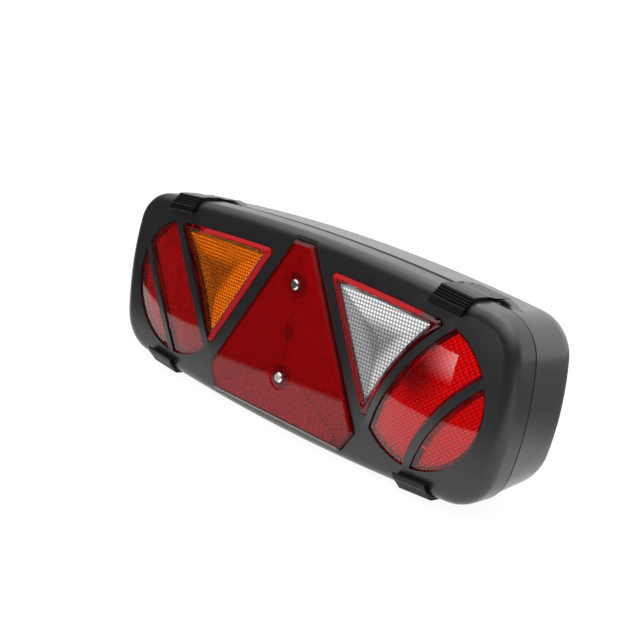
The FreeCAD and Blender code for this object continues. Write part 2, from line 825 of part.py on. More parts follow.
def make_stud():
    """Mounting bolt: hexagon head on the housing's floor, a slimmer neck through the wall, then the shank."""
    floor = lamp_depth - wall
    radius = stud_head_flats / math.sqrt(3)
    corners = [on_circle((stud_spacing / 2, 0), radius, math.radians(60 * k)) for k in range(6)]
    head = prism(closed_polygon(corners, floor - stud_head_height), stud_head_height)
    shank_start = lamp_depth - stud_recess_depth / 4
    neck = cylinder(stud_spacing / 2, 0, stud_neck / 2, floor, shank_start)
    shank = cylinder(stud_spacing / 2, 0, stud_diameter / 2, shank_start, lamp_depth + stud_reach)
    shank = shank.makeChamfer(1.0, edges_at(shank, lamp_depth + stud_reach))
    return head.fuse([neck, shank]).removeSplitter()


def main():
    right_lens = make_red_lens()
    insert = make_window_insert()
    funnel = make_funnel()
    bowl = make_bowl()
    carrier = make_carrier()
    strip = make_strip()
    stud = make_stud()
    clips = [make_clip(frame) for frame in clip_frames()]
    nodes = {
        "front_bezel": make_bezel(),
        "rear_housing": make_housing(),
        "housing_seal": make_seal(),
        "left_red_lens": mirrored(right_lens),
        "right_red_lens": right_lens,
        "amber_lens": mirrored(insert),
        "clear_lens": insert,
        "triangle_reflector": make_triangle_reflector(),
        "reflector_screws": make_reflector_screws(),
        "top_left_clip": clips[0],
        "top_right_clip": clips[1],
        "bottom_left_clip": clips[2],
        "bottom_right_clip": clips[3],
        "indicator_reflector": mirrored(funnel),
        "reverse_reflector": funnel,
        "stop_reflector": mirrored(bowl),
        "fog_reflector": bowl,
        "indicator_bulb": mirrored(make_bulb("inner")),
        "reverse_bulb": make_bulb("inner"),
        "stop_bulb": mirrored(make_bulb("outer")),
        "fog_bulb": make_bulb("outer"),
        "indicator_holder": mirrored(make_holder("inner")),
        "reverse_holder": make_holder("inner"),
        "stop_holder": mirrored(make_holder("outer")),
        "fog_holder": make_holder("outer"),
        "left_carrier": mirrored(carrier),
        "right_carrier": carrier,
        "carrier_screws": make_carrier_screws(),
        "left_contact_strip": mirrored(strip),
        "right_contact_strip": strip,
        "terminal_block": make_terminal_block(),
        "terminal_screws": make_terminal_screws(),
        "cable_grommet": make_grommet(),
        "left_stud": mirrored(stud),
        "right_stud": stud,
    }
    os.makedirs("parts", exist_ok=True)
    for name, shape in nodes.items():
        shape.exportStep("parts/" + name + ".step")
        box = shape.BoundBox
        print(name, shape.isValid(), len(shape.Solids), round(shape.Volume / 1000, 2), "cm3",
              [round(v, 1) for v in (box.XMin, box.XMax, box.YMin, box.YMax, box.ZMin, box.ZMax)])


main()
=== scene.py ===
# %% [markdown]
# A rear combination lamp for a trailer.
# The lamp arrives as finished solids in one fixed frame: X along the lamp, Z up, lenses facing -Y, in metres.
# This lesson gives every solid its surface and adds the fine optics that are moulded behind the lenses.

# %% Load the lamp
import math
import bpy
from mathutils import Matrix, Vector


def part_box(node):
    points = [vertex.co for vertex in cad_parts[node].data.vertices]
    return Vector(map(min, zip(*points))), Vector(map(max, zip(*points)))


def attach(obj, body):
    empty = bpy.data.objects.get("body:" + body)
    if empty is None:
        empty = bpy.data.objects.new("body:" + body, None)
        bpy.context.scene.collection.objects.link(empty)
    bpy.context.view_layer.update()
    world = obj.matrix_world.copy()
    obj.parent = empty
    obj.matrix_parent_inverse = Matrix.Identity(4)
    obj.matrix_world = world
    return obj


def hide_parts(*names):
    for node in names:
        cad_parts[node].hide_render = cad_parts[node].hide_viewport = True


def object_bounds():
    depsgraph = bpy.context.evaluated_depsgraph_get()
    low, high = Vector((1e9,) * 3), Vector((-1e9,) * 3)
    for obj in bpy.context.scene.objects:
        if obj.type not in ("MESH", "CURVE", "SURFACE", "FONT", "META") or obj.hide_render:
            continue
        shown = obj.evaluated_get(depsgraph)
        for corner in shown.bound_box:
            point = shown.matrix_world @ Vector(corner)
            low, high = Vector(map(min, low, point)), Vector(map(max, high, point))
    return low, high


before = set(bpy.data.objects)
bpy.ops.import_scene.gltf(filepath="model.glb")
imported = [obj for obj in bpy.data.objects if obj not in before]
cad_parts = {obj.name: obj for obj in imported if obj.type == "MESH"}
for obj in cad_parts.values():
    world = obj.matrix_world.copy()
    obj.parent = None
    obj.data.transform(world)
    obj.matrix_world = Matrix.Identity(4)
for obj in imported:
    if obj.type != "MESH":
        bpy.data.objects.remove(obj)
cad_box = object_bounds()
lowest, highest = Vector(cad_box[0]), Vector(cad_box[1])
mm = 0.001
face_y = -75 * mm
print("the lamp measures", [round(v, 4) for v in highest - lowest])

# %% [markdown]
# The camera stands to the right of the lamp and above it.
# It is turned a little about its own axis, because the lamp is tilted in the picture and stays upright here.
# The lens is long, so the far end shrinks only a little.

# %% Camera
camera_place = Vector((0.5548, -0.669, 0.2175))
camera_aim = Vector((0.0257, -0.075, 0.0173))
camera_roll = math.radians(10.45)
camera_lens = 67.3
sensor_width = 36.0

bpy.ops.object.camera_add(location=camera_place)
camera = bpy.context.object
looking = (camera_aim - camera_place).to_track_quat("-Z", "Y").to_matrix().to_4x4()
camera.rotation_euler = (looking @ Matrix.Rotation(camera_roll, 4, "Z")).to_euler()
camera.data.lens = camera_lens
camera.data.sensor_width = sensor_width
camera.data.clip_start = 10 * mm
bpy.context.scene.camera = camera
bpy.context.scene.view_settings.view_transform = "Standard"
print("camera", round((camera_aim - camera_place).length, 3), "m from the lamp's face")

# %% [markdown]
# Small helpers for working as by hand: pick one piece, apply what is stacked on it, pick some of its faces.
# Operators act on all that is selected, so a piece is always picked alone before one is used on it.

# %% Helpers for pieces


def only(piece):
    bpy.ops.object.select_all(action="DESELECT")
    piece.select_set(True)
    bpy.context.view_layer.objects.active = piece


def apply_modifiers(piece):
    only(piece)
    for modifier in list(piece.modifiers):
        bpy.ops.object.modifier_apply(modifier=modifier.name)


def pick_faces(piece, wanted):
    """Selects the faces whose centre passes a test, and goes into edit mode."""
    only(piece)
    bpy.ops.object.mode_set(mode="EDIT")
    bpy.ops.mesh.select_mode(type="FACE")
    bpy.ops.mesh.select_all(action="DESELECT")
    bpy.ops.object.mode_set(mode="OBJECT")
    for face in piece.data.polygons:
        face.select = wanted(face.center)
    bpy.ops.object.mode_set(mode="EDIT")


def wear(piece, material):
    piece.data.materials.clear()
    piece.data.materials.append(material)


# %% [markdown]
# A finish is a small network of nodes, which could be wired by hand in the shader editor.
# The same few nodes come back in every finish of this lamp, so each has a short function here.
# Every input takes a plain value or the output of an earlier node, so that a finish reads like a sum.

# %% Helpers for nodes


def new_material(name):
    material = bpy.data.materials.new(name)
    material.use_nodes = True
    return material, material.node_tree, material.node_tree.nodes["Principled BSDF"]


def feed(tree, socket, value):
    """Links an input to another node's output, or sets a plain value on it."""
    if isinstance(value, bpy.types.NodeSocket):
        tree.links.new(value, socket)
    else:
        socket.default_value = value


def sum_node(tree, kind, operation, values):
    node = tree.nodes.new(kind)
    node.operation = operation
    for socket, value in zip(node.inputs, values):
        feed(tree, socket, value)
    return node.outputs


def math_node(tree, operation, *values):
    return sum_node(tree, "ShaderNodeMath", operation, values)["Value"]


def vector_node(tree, operation, *values):
    return sum_node(tree, "ShaderNodeVectorMath", operation, values)["Vector"]


def vector_measure(tree, operation, *values):
    return sum_node(tree, "ShaderNodeVectorMath", operation, values)["Value"]


def fade_node(tree, value, span, tones=(0.0, 1.0), smooth=True):
    """Goes from a first tone to a second one while a value crosses a span."""
    node = tree.nodes.new("ShaderNodeMapRange")
    node.interpolation_type = "SMOOTHSTEP" if smooth else "LINEAR"
    labels = ("Value", "From Min", "From Max", "To Min", "To Max")
    for label, given in zip(labels, (value, *span, *tones)):
        feed(tree, node.inputs[label], given)
    return node.outputs["Result"]


def mix_node(tree, factor, first, second, kind="FLOAT", blend="MIX"):
    node = tree.nodes.new("ShaderNodeMix")
    node.data_type = kind
    node.blend_type = blend
    for label, given in (("Factor", factor), ("A", first), ("B", second)):
        feed(tree, node.inputs[label], given)
    return node.outputs["Result"]


def coordinates(tree, label):
    return tree.nodes.new("ShaderNodeTexCoord").outputs[label]


def split_parts(tree, vector):
    """The X, Y and Z of a place or direction."""
    node = tree.nodes.new("ShaderNodeSeparateXYZ")
    tree.links.new(vector, node.inputs["Vector"])
    return node.outputs


# %% [markdown]
# The studio is a white room with soft light, as for a catalogue picture.
# A plain white world would do for the background, but black plastic would mirror it and turn grey.
# So the world asks what kind of ray meets it: the camera sees white, and rays that have passed through a lens
# see a room that brightens upwards, which makes the windows glow.
# All other rays see a dark room with a bright ceiling and backdrop.

# %% World
room_dark = 0.05
ceiling_tone = 1.8
ceiling_span = (0.35, 0.85)
backdrop_tone = 1.3
backdrop_span = (0.15, 0.7)
studio_tones = (0.3, 2.4)
studio_span = (-0.2, 0.7)
white = 1.0

world = bpy.data.worlds.new("studio")
bpy.context.scene.world = world
world.use_nodes = True
tree = world.node_tree
background = tree.nodes["Background"]
background.inputs["Color"].default_value = (1, 1, 1, 1)
ray = tree.nodes.new("ShaderNodeLightPath").outputs
towards = split_parts(tree, coordinates(tree, "Generated"))
ceiling = fade_node(tree, towards["Z"], ceiling_span, (room_dark, ceiling_tone))
backdrop = fade_node(tree, towards["Y"], backdrop_span, (room_dark, backdrop_tone))
room = math_node(tree, "MAXIMUM", ceiling, backdrop)
studio = fade_node(tree, towards["Z"], studio_span, studio_tones)
unseen = mix_node(tree, ray["Is Transmission Ray"], room, studio)
tree.links.new(mix_node(tree, ray["Is Camera Ray"], unseen, white), background.inputs["Strength"])
print("world", world.name, "with", len(tree.nodes), "nodes")

# %% [markdown]
# The lamp stands on a white table, and the lower part of every lens mirrors it as a pale veil with an edge.
# A real table top could be modelled with its edge in the right place.
# One large floor is simpler: its material glows for mirrored rays only, up to a line in front of the lamp,
# and it dims again behind the lamp, so that the housing doesn't turn grey.
# For the camera most of it is plain white, and the rest keeps the lamp's shadow.

# %% Floor
floor_size = 8
floor_tone = 0.9
floor_rough = 0.8
table_edge = -0.186
edge_blur = 0.006
table_turn = 0.2
table_tones = (0.05, 1.3)
behind_span = (0.0, 0.2)
behind_tones = (1.0, 0.2)
white_tone = 1.05
white_share = 0.9


def glow_node(tree, strength):
    node = tree.nodes.new("ShaderNodeEmission")
    feed(tree, node.inputs["Strength"], strength)
    return node.outputs["Emission"]


def mix_shaders(tree, factor, first, second):
    node = tree.nodes.new("ShaderNodeMixShader")
    for socket, value in zip(node.inputs, (factor, first, second)):
        feed(tree, socket, value)
    return node.outputs["Shader"]


def set_surface(tree, shader):
    tree.links.new(shader, tree.nodes["Material Output"].inputs["Surface"])


bpy.ops.mesh.primitive_plane_add(size=floor_size, location=(0, 0, lowest.z))
floor = bpy.context.object
floor.name = "floor"
floor_paint, tree, shader = new_material("white_table")
shader.inputs["Base Color"].default_value = (floor_tone, floor_tone, floor_tone, 1)
shader.inputs["Roughness"].default_value = floor_rough
ray = tree.nodes.new("ShaderNodeLightPath").outputs
place = split_parts(tree, tree.nodes.new("ShaderNodeNewGeometry").outputs["Position"])
inwards = math_node(tree, "MULTIPLY_ADD", place["X"], table_turn, place["Y"])
table = fade_node(tree, inwards, (table_edge - edge_blur, table_edge + edge_blur), table_tones, smooth=False)
behind = fade_node(tree, place["Y"], behind_span, behind_tones)
table_glow = glow_node(tree, math_node(tree, "MULTIPLY", table, behind))
mirrored = math_node(tree, "GREATER_THAN", ray["Is Glossy Ray"], ray["Is Transmission Ray"])
mirrored_floor = mix_shaders(tree, mirrored, shader.outputs["BSDF"], table_glow)
seen_white = math_node(tree, "MULTIPLY", ray["Is Camera Ray"], white_share)
set_surface(tree, mix_shaders(tree, seen_white, mirrored_floor, glow_node(tree, white_tone)))
wear(floor, floor_paint)
print("floor at", round(lowest.z, 4), "m, table edge", table_edge, "m")

# %% [markdown]
# Two soft lights do the work of a photographer's soft boxes: a wide one overhead and a fill from the left.
# Area lights are chosen because their size sets how soft a shadow is.
# The fill isn't mirrored, or it would show as a second bright patch in the domes.

# %% Lights
lights_aim = (0, -0.05, 0)


def soft_light(name, place, width, height, power, mirrored=True):
    bpy.ops.object.light_add(type="AREA", location=place)
    light = bpy.context.object
    light.name = name
    light.data.shape = "RECTANGLE"
    light.data.size = width
    light.data.size_y = height
    light.data.energy = power
    light.rotation_euler = (Vector(lights_aim) - Vector(place)).to_track_quat("-Z", "Y").to_euler()
    light.visible_glossy = mirrored


soft_light("overhead", (0.1, 0.25, 1.1), 1.4, 0.9, 6)
soft_light("front_fill", (-0.5, -1.3, 0.8), 0.9, 0.7, 5, mirrored=False)

# %% [markdown]
# The right dome mirrors a soft panel that stands to the left of the camera.
# It is bright at one side and fades to the other and downwards.
# A light could be mirrored too, but its brightness is even, so a plane with a fading glow is used.
# It shows in mirrored rays only and lights nothing else.

# %% Panel that the right dome mirrors
panel_aim = Vector((0.12, -0.08, 0.0))
panel_turn = math.radians(27.5)
panel_away = 0.35
panel_size = (0.155, 0.105, 1)
panel_tone = 5.5
panel_falloff = 2.2
full_height = 0.8

panel_place = panel_aim - panel_away * Vector((math.sin(panel_turn), math.cos(panel_turn), 0.0))
bpy.ops.mesh.primitive_plane_add(size=1, location=panel_place)
panel = bpy.context.object
panel.name = "left_panel"
panel.scale = panel_size
panel.rotation_euler = (math.pi / 2, 0, -panel_turn)
panel_paint, tree, _ = new_material("panel_glow")
spot = split_parts(tree, coordinates(tree, "Generated"))
across = math_node(tree, "MULTIPLY", math_node(tree, "POWER", spot["X"], panel_falloff), panel_tone)
upwards = fade_node(tree, spot["Y"], (0.0, full_height))
set_surface(tree, glow_node(tree, math_node(tree, "MULTIPLY", across, upwards)))
wear(panel, panel_paint)
panel.visible_camera = False
panel.visible_diffuse = False
panel.visible_transmission = False
panel.visible_shadow = False
print("panel at", [round(v, 3) for v in panel_place])

# %% [markdown]
# Effects that more than one finish uses are node groups, built once and placed with each finish's own values.
# The first kind is noise that raises the surface and varies its gloss.
# As fine grain it is the spark-eroded texture of moulded black plastic.
# As moulding waves it is the faint unevenness of a polished acrylic face.
# An image could hold such a texture, but noise in the object's own space needs no unwrapping.

# %% Grain and waves
patch_scale = 45
middle_of_noise = 0.5


def new_group(name, inputs, outputs):
    """An empty group with named numbers going in and named outputs of the given kinds."""
    group = bpy.data.node_groups.new(name, "ShaderNodeTree")
    for label, value in inputs.items():
        socket = group.interface.new_socket(label, in_out="INPUT", socket_type="NodeSocketFloat")
        socket.default_value = value
    for label, kind in outputs.items():
        group.interface.new_socket(label, in_out="OUTPUT", socket_type=kind)
    return group, group.nodes.new("NodeGroupInput").outputs, group.nodes.new("NodeGroupOutput").inputs


def place_group(tree, group, values):
    node = tree.nodes.new("ShaderNodeGroup")
    node.node_tree = group
    for label, value in values.items():
        node.inputs[label].default_value = value
    return node.outputs


def noise_node(tree, spot, scale, detail=2):
    node = tree.nodes.new("ShaderNodeTexNoise")
    for label, given in (("Vector", spot), ("Scale", scale), ("Detail", detail)):
        feed(tree, node.inputs[label], given)
    return node.outputs["Fac"]


def bumpy_group(name, scale, depth, rough, spread, detail):
    """Noise in the object's own space that raises the surface and varies its roughness."""
    inputs = {"Scale": scale, "Depth": depth, "Roughness": rough, "Spread": spread}
    outputs = {"Normal": "NodeSocketVector", "Roughness": "NodeSocketFloat"}
    group, given, result = new_group(name, inputs, outputs)
    spot = coordinates(group, "Object")
    bump = group.nodes.new("ShaderNodeBump")
    bump.inputs["Strength"].default_value = 1.0
    feed(group, bump.inputs["Height"], noise_node(group, spot, given["Scale"], detail))
    feed(group, bump.inputs["Distance"], given["Depth"])
    centred = math_node(group, "SUBTRACT", noise_node(group, spot, patch_scale), middle_of_noise)
    sway = math_node(group, "MULTIPLY_ADD", centred, given["Spread"], given["Roughness"])
    group.links.new(bump.outputs["Normal"], result["Normal"])
    group.links.new(sway, result["Roughness"])
    return group


fine_grain = bumpy_group("fine_grain", 2200, 0.06 * mm, 0.5, 0.15, 2)
moulding_waves = bumpy_group("moulding_waves", 60, 0.12 * mm, 0.05, 0.04, 1)
print("groups", fine_grain.name, "and", moulding_waves.name)

# %% [markdown]
# Between the bezel and the housing runs a dark line, the shadow in the gap where the two mouldings meet.
# The gap is too narrow to hold a shadow at this picture size.
# So this group marks the strip at the seam, where the two black plastics get a painted shade, dull and dark.
# On top the painted shade reaches further back, because the housing's top lies lower than the bezel's.

# %% Shade at the seam
seam_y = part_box("front_bezel")[1].y
top_start = highest.z - 8 * mm

seam_inputs = {"Before": 1.0 * mm, "After": 1.0 * mm, "Above": 0.0}
seam_shade, given, result = new_group("seam_shade", seam_inputs, {"Open": "NodeSocketFloat"})
place = split_parts(seam_shade, coordinates(seam_shade, "Object"))
from_seam = math_node(seam_shade, "SUBTRACT", place["Y"], seam_y)
on_top = math_node(seam_shade, "GREATER_THAN", place["Z"], top_start)
strip_back = math_node(seam_shade, "MULTIPLY_ADD", on_top, given["Above"], given["After"])
strip_front = math_node(seam_shade, "MULTIPLY", given["Before"], -1)
past_back = math_node(seam_shade, "GREATER_THAN", from_seam, strip_back)
past_front = math_node(seam_shade, "LESS_THAN", from_seam, strip_front)
seam_shade.links.new(math_node(seam_shade, "ADD", past_back, past_front), result["Open"])
print("seam at", round(seam_y, 4), "m")

# %% [markdown]
# Each of these materials goes onto the slot of the same name in the lamp's record.
# The black mouldings are plastic with a fine grain, the seal is rubber, and the screws, contacts and bowls
# are bare metal.
# One short function makes each kind, so that a finish is one line of colour, roughness and gloss.

# %% Plastics, rubber and metals
materials = {}
grain_scale = 1500
grain_depth = 0.02 * mm
grain_spread = 0.1
# The painted shade at the seam is black and dull.
seam_shade_black = (0.0005, 0.0005, 0.0005, 1)
seam_shade_rough = 1.0


def add_bumps(tree, shader, group, values):
    bumps = place_group(tree, group, values)
    tree.links.new(bumps["Normal"], shader.inputs["Normal"])
    tree.links.new(bumps["Roughness"], shader.inputs["Roughness"])


def plastic(name, colour, rough, specular):
    material, tree, shader = new_material(name)
    shader.inputs["Base Color"].default_value = (*colour, 1)
    shader.inputs["Specular IOR Level"].default_value = specular
    grain = {"Scale": grain_scale, "Depth": grain_depth, "Roughness": rough, "Spread": grain_spread}
    add_bumps(tree, shader, fine_grain, grain)
    materials[name] = material


def paint_seam_shade(name, before, after, above):
    """Paints shade at the seam, making a plastic dull and black there, as the shadow in the gap does."""
    tree = materials[name].node_tree
    shader = tree.nodes["Principled BSDF"]
    strip = place_group(tree, seam_shade, {"Before": before, "After": after, "Above": above})
    plain_colour = tuple(shader.inputs["Base Color"].default_value)
    plain_rough = shader.inputs["Roughness"].links[0].from_socket
    tint = mix_node(tree, strip["Open"], seam_shade_black, plain_colour, "RGBA")
    dull = mix_node(tree, strip["Open"], seam_shade_rough, plain_rough)
    tree.links.new(tint, shader.inputs["Base Color"])
    tree.links.new(dull, shader.inputs["Roughness"])


def metal(name, colour, rough):
    material, _, shader = new_material(name)
    shader.inputs["Base Color"].default_value = (*colour, 1)
    shader.inputs["Metallic"].default_value = 1.0
    shader.inputs["Roughness"].default_value = rough
    materials[name] = material


plastic("bezel_plastic", (0.016, 0.016, 0.0175), 0.33, 0.55)
plastic("housing_plastic", (0.024, 0.0225, 0.0215), 0.3, 0.6)
plastic("clip_plastic", (0.004, 0.004, 0.0042), 0.3, 0.1)
plastic("seal_rubber", (0.01, 0.01, 0.01), 0.8, 0.3)
plastic("carrier_plastic", (0.35, 0.35, 0.35), 0.5, 0.4)
plastic("terminal_plastic", (0.02, 0.02, 0.02), 0.5, 0.4)
paint_seam_shade("bezel_plastic", before=0.9 * mm, after=1.0 * mm, above=0.0)
paint_seam_shade("housing_plastic", before=1.0 * mm, after=2.0 * mm, above=7.0 * mm)
metal("zinc_screw", (0.86, 0.86, 0.83), 0.25)
metal("silvered", (0.88, 0.88, 0.89), 0.3)
metal("holder_metal", (0.6, 0.58, 0.55), 0.3)
metal("contact_brass", (0.65, 0.5, 0.22), 0.3)
metal("steel_stud", (0.5, 0.5, 0.5), 0.3)
print("finishes so far:", ", ".join(materials))

# %% [markdown]
# The lenses are tinted acrylic with small optics moulded into their backs, and a smooth glossy front.
# Real refraction through hundreds of small lenses would need very many light paths to come out clean.
# So the skins let light nearly straight through, with a tint, and a clear coat gives them their gloss.
# The cells that show through them are silvered plates behind the skins, made further down.

# %% Lens materials
skin_index = 1.06
glass_index = 1.3
coat_rough = 0.03
skin_rough = 0.03


def acrylic(name, colour, index, coat, through):
    material, tree, shader = new_material(name)
    shader.inputs["Base Color"].default_value = (*colour, 1)
    shader.inputs["Transmission Weight"].default_value = through
    shader.inputs["IOR"].default_value = index
    shader.inputs["Coat Weight"].default_value = coat
    shader.inputs["Coat Roughness"].default_value = coat_rough
    add_bumps(tree, shader, moulding_waves, {"Roughness": skin_rough})
    materials[name] = material


acrylic("red_acrylic", (0.90, 0.018, 0.022), skin_index, 1.0, 0.975)
acrylic("red_frame", (0.60, 0.006, 0.009), skin_index, 0.25, 0.35)
acrylic("amber_acrylic", (1.0, 0.40, 0.012), skin_index, 1.0, 0.985)
acrylic("clear_acrylic", (0.97, 0.97, 0.98), skin_index, 1.0, 0.985)
acrylic("reflector_acrylic", (0.80, 0.010, 0.014), skin_index, 0.6, 0.94)
acrylic("bulb_glass", (0.95, 0.95, 0.95), glass_index, 0.5, 1.0)
print(len(materials), "finishes with the lenses")

# %% [markdown]
# Behind the amber and the clear window sits a flat-sided silver funnel.
# Through the small lenses its three sides show as fields of different brightness around a dim middle.
# One node group paints these fields, as light and shade, for both windows by the distance to each side.
# The left window is the right one mirrored, so X is folded over first.

# %% Painted light of the funnel behind a window
window_middle = (80.55 * mm, 0, 21.17 * mm)
window_room = 29.5 * mm
top_way = (0.053, 0, 0.9986)
inner_way = (-0.866, 0, -0.5)
outer_way = (0.855, 0, -0.519)
rib_turns = 2 * math.pi * 11
core_span = (0.15, 0.5)

field_inputs = {"Top": 1.0, "Inner": 0.6, "Outer": 0.8, "Core": 0.3, "Ribs": 0.2}
funnel_light, given, result = new_group("painted_funnel_light", field_inputs, {"Tone": "NodeSocketFloat"})
spot = coordinates(funnel_light, "Object")
sideways = vector_node(funnel_light, "MULTIPLY", vector_node(funnel_light, "ABSOLUTE", spot), (1, 0, 0))
folded = vector_node(funnel_light, "MULTIPLY_ADD", spot, (0, 0, 1), sideways)
from_middle = vector_node(funnel_light, "SUBTRACT", folded, window_middle)


def way_to_side(way):
    """Share of the way from the middle of the window to one side."""
    return vector_measure(funnel_light, "DOT_PRODUCT", from_middle, Vector(way) / window_room)


to_top = way_to_side(top_way)
to_inner = way_to_side(inner_way)
to_outer = way_to_side(outer_way)
in_top = math_node(funnel_light, "GREATER_THAN", to_top, math_node(funnel_light, "MAXIMUM", to_inner, to_outer))
in_inner = math_node(funnel_light, "GREATER_THAN", to_inner, math_node(funnel_light, "MAXIMUM", to_top, to_outer))
in_outer = math_node(funnel_light, "SUBTRACT", math_node(funnel_light, "SUBTRACT", 1.0, in_top), in_inner)
tone = math_node(funnel_light, "MULTIPLY", in_top, given["Top"])
tone = math_node(funnel_light, "MULTIPLY_ADD", in_inner, given["Inner"], tone)
tone = math_node(funnel_light, "MULTIPLY_ADD", in_outer, given["Outer"], tone)
outwards = math_node(funnel_light, "MAXIMUM", math_node(funnel_light, "MAXIMUM", to_top, to_inner), to_outer)
wave = math_node(funnel_light, "SINE", math_node(funnel_light, "MULTIPLY", outwards, rib_turns))
tone = math_node(funnel_light, "MULTIPLY", tone, math_node(funnel_light, "MULTIPLY_ADD", wave, given["Ribs"], 1.0))
core = fade_node(funnel_light, outwards, core_span, (given["Core"], 1.0))
funnel_light.links.new(math_node(funnel_light, "MULTIPLY", tone, core), result["Tone"])
print("funnel fields with", len(funnel_light.nodes), "nodes")

# %% [markdown]
# The optics behind the skins are painted as bright metal, as a silvered bowl looks through them.
# A value stored on each cell, its crown, is 1 on the top of the cell and 0 in the groove around it.
# The grooves get painted shade, so every cell stands out, as it does where real lenses bend the light away.
# Across each plate the colour goes from a dark to a bright one, which is painted light and shade as well.

# %% Optic materials
optic_metal = 0.5
optic_rough = 0.12
groove_shade_span = (0.1, 0.7)
window_groove_shade = 0.1


def crown_of(tree):
    node = tree.nodes.new("ShaderNodeAttribute")
    node.attribute_name = "crown"
    return node.outputs["Fac"]


def silvered_optic(name, dark, bright, groove_shade_tone, painted_light_share):
    """Cells with painted light and shade, between a dark and a bright colour by a share a function puts in.
    """
    material, tree, shader = new_material(name)
    shader.inputs["Metallic"].default_value = optic_metal
    shader.inputs["Roughness"].default_value = optic_rough
    tint = mix_node(tree, painted_light_share(tree), (*dark, 1), (*bright, 1), "RGBA")
    groove = fade_node(tree, crown_of(tree), groove_shade_span, (groove_shade_tone, 1.0), smooth=False)
    shaded = mix_node(tree, 1.0, tint, groove, "RGBA", "MULTIPLY")
    tree.links.new(shaded, shader.inputs["Base Color"])
    materials[name] = material


def window_optic(name, dark, bright, tones):
    def fields(tree):
        return place_group(tree, funnel_light, tones)["Tone"]

    silvered_optic(name, dark, bright, window_groove_shade, fields)


# Each window's painted light and shade: the tone of every funnel field, of its dim middle and of its ribs.
amber_funnel_light = {"Top": 0.7, "Inner": 1.0, "Outer": 0.2, "Core": 0.1, "Ribs": 0.35}
clear_funnel_light = {"Top": 1.0, "Inner": 0.3, "Outer": 0.8, "Core": 0.2, "Ribs": 0.0}
window_optic("amber_optic", (0.16, 0.012, 0.001), (1.0, 0.95, 0.2), amber_funnel_light)
window_optic("clear_optic", (0.08, 0.08, 0.09), (1.0, 1.0, 1.0), clear_funnel_light)
print("window optics", "amber", amber_funnel_light, "clear", clear_funnel_light)

# %% [markdown]
# In a red dome the unlit bulb shows as a dark spot, and the silvered bowl around it is brighter.
# The cells are opaque and hide the bulb itself, so the spot is painted shade and the bowl a painted
# reflection.
# The left dome is dimmer all over, by painted shade.

# %% Dome optic
bulb_shade_centre = (115 * mm, 0, 11.5 * mm)
bulb_shade_span = (5 * mm, 27 * mm)
middle_span = (-10 * mm, 10 * mm)
left_dome_shade = 0.25
dome_groove_shade = 0.3


# The share of the bright colour: painted shade round the bulb and over the left dome.
def painted_dome_light(tree):
    spot = coordinates(tree, "Object")
    flat = vector_node(tree, "MULTIPLY", spot, (1, 0, 1))
    shade_round_bulb = fade_node(tree, vector_measure(tree, "DISTANCE", flat, bulb_shade_centre), bulb_shade_span)
    along_lamp = split_parts(tree, spot)["X"]
    side_shade = fade_node(tree, along_lamp, middle_span, (left_dome_shade, 1.0), smooth=False)
    return math_node(tree, "MULTIPLY", shade_round_bulb, side_shade)


silvered_optic("red_optic", (0.07, 0.002, 0.004), (0.72, 0.10, 0.10), dome_groove_shade, painted_dome_light)
print("dome optic, bulb shows at", [round(v, 4) for v in bulb_shade_centre])

# %% [markdown]
# The triangle's prisms send light back to where it came from, so they look deep red from the side.
# Their material is duller than the other optics, with painted shade at the foot of each prism.

# %% Prism material
prism_red = Vector((0.27, 0.008, 0.016))
foot_shade_share = 0.35
prism_metal = 0.4
prism_rough = 0.25

material, tree, shader = new_material("prism_red")
shader.inputs["Metallic"].default_value = prism_metal
shader.inputs["Roughness"].default_value = prism_rough
shaded_prism_colour = mix_node(tree, crown_of(tree), (*(foot_shade_share * prism_red), 1), (*prism_red, 1), "RGBA")
tree.links.new(shaded_prism_colour, shader.inputs["Base Color"])
materials["prism_red"] = material
print("prism colour", [round(v, 3) for v in prism_red])

# %% [markdown]
# Every solid of the lamp came with a plain material on each slot, named as in the record.
# Each is swapped for the finish of the same name, which could be done by hand slot by slot.

# %% Give every solid its material
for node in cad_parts.values():
    for holder in node.material_slots:
        holder.material = materials[holder.material.name.split(".")[0]]
print(len(materials), "materials")

# %% [markdown]
# The bezel and the housing are smooth mouldings, but as solids their rounded edges come in narrow flat bands.
# A finer mesh would be heavy, so a merged copy of each takes smooth shading across the bands instead.
# Weighted normals keep the large flat faces flat.

# %% Smooth black mouldings
merge_reach = 2e-6
smooth_angle = math.radians(35)


def smooth_copy(node_name, piece_name):
    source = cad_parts[node_name]
    piece = source.copy()
    piece.data = source.data.copy()
    piece.name = piece_name
    piece.parent = None
    piece.matrix_world = Matrix.Identity(4)
    bpy.context.collection.objects.link(piece)
    only(piece)
    bpy.ops.mesh.customdata_custom_splitnormals_clear()
    bpy.ops.object.mode_set(mode="EDIT")
    bpy.ops.mesh.select_all(action="SELECT")
    bpy.ops.mesh.remove_doubles(threshold=merge_reach)
    bpy.ops.object.mode_set(mode="OBJECT")
    bpy.ops.object.shade_smooth_by_angle(angle=smooth_angle)
    weighted = piece.modifiers.new("weighted", "WEIGHTED_NORMAL")
    weighted.keep_sharp = True
    apply_modifiers(piece)
    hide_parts(node_name)
    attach(piece, "root")
    return piece


smooth_bezel = smooth_copy("front_bezel", "smooth_bezel")
smooth_housing = smooth_copy("rear_housing", "smooth_housing")
print("bezel", len(smooth_bezel.data.polygons), "faces; housing", len(smooth_housing.data.polygons))

# %% [markdown]
# The housing's front edge is broken a little, so that the gap behind the bezel opens and shows as a line.
# The whole housing could be bevelled, but only this one edge is needed, so it is picked by its place:
# an edge near the seam between a face that looks forward and a wall that runs back from it.

# %% Broken edge of the housing
seam_bevel = 1.3 * mm
seam_span = (-0.1 * mm, 2 * mm)
level_reach = 0.01 * mm
front_normal = -0.95
wall_normal = 0.3


